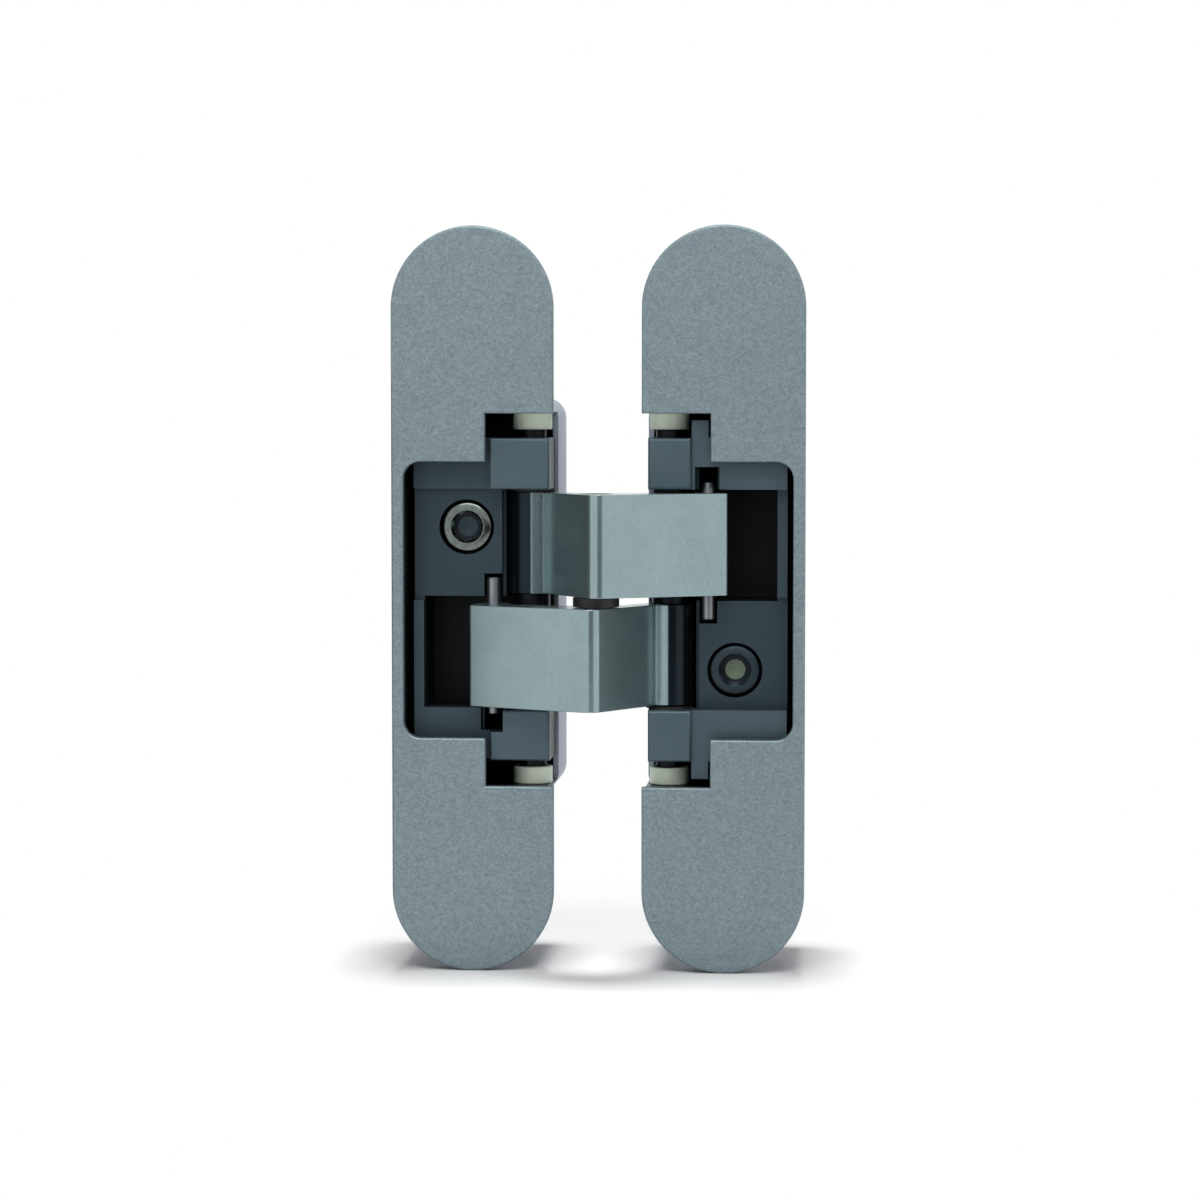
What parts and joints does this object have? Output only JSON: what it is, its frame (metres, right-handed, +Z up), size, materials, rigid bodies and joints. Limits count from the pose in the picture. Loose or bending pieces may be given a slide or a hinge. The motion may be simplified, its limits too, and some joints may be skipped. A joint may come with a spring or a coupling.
{
  "type": "concealed door hinge",
  "caption": "Concealed door hinge lying wide open: round-ended cover plates over mortised boxes, joined by crossed scissor arms.",
  "frame": {"origin": "middle of the frame half's plate, on the back of its screw flange", "axes": "+Z up along the plates, +X from the frame half to the door half, +Y into the wood"},
  "size_m": [0.061, 0.035, 0.11],
  "materials": {
    "housing_zinc": "die-cast zinc, silver paint",
    "cover_silver": "matt silver paint with fine flake",
    "carrier_zinc": "die-cast zinc, satin grey",
    "arm_silver": "die-cast zinc, matt silver paint",
    "end_bush_nylon": "natural nylon",
    "sleeve_steel": "ground steel",
    "screw_steel": "zinc-plated steel",
    "bearing_polymer": "black bearing polymer"
  },
  "bodies": {
    "frame_body": {"frame_housing": "housing_zinc", "frame_cover": "cover_silver", "frame_guide_pin": "sleeve_steel", "frame_upper_bush": "end_bush_nylon", "frame_lower_bush": "end_bush_nylon"},
    "frame_slide": {"frame_carrier": "carrier_zinc", "frame_spacer": "sleeve_steel", "frame_thrust_washer": "bearing_polymer", "frame_nut": "sleeve_steel"},
    "frame_screw": {"frame_clamp_screw": "screw_steel"},
    "frame_link": {"frame_arm": "arm_silver", "frame_pivot_bush": "bearing_polymer", "frame_centre_bush": "bearing_polymer", "frame_slider_pin": "sleeve_steel", "centre_pin": "sleeve_steel", "centre_washer": "bearing_polymer"},
    "door_body": {"door_housing": "housing_zinc", "door_cover": "cover_silver", "door_guide_pin": "sleeve_steel", "door_upper_bush": "end_bush_nylon", "door_lower_bush": "end_bush_nylon"},
    "door_slide": {"door_carrier": "carrier_zinc", "door_spacer": "sleeve_steel", "door_thrust_washer": "bearing_polymer", "door_nut": "sleeve_steel"},
    "door_screw": {"door_clamp_screw": "screw_steel"},
    "door_link": {"door_arm": "arm_silver", "door_pivot_bush": "bearing_polymer", "door_centre_bush": "bearing_polymer", "door_slider_pin": "sleeve_steel"}
  },
  "joints": [
    {"name": "frame_height", "type": "slide", "parent": "frame_body", "child": "frame_slide", "axis": [0, 0, 1], "range_m": [-0.001, 0.001]},
    {"name": "frame_screw_turn", "type": "hinge", "parent": "frame_slide", "child": "frame_screw", "pos_m": [-0.0015, 0, 0.0106], "axis": [0, -1, 0], "range_deg": [0, 360]},
    {"name": "fold", "type": "hinge", "parent": "frame_slide", "child": "frame_link", "pos_m": [0.0083, 0.0036, 0], "axis": [0, 0, 1], "range_deg": [-91.71, 0]},
    {"name": "centre", "type": "hinge", "parent": "frame_link", "child": "door_link", "pos_m": [0.0185, -0.0063, 0], "axis": [0, 0, 1], "range_deg": [-0.2, 3.6]},
    {"name": "door_fold", "type": "hinge", "parent": "door_link", "child": "door_slide", "pos_m": [0.0287, 0.0036, 0], "axis": [0, 0, 1], "range_deg": [-91.81, 0.1]},
    {"name": "door_screw_turn", "type": "hinge", "parent": "door_slide", "child": "door_screw", "pos_m": [0.0385, 0, -0.0106], "axis": [0, -1, 0], "range_deg": [0, 360]},
    {"name": "door_height", "type": "slide", "parent": "door_slide", "child": "door_body", "axis": [0, 0, 1], "range_m": [-0.001, 0.001]}
  ],
  "couplings": [
    {"joint": "centre", "follows": "fold", "ratio": -0.037296},
    {"joint": "door_fold", "follows": "fold", "ratio": 1}
  ]
}
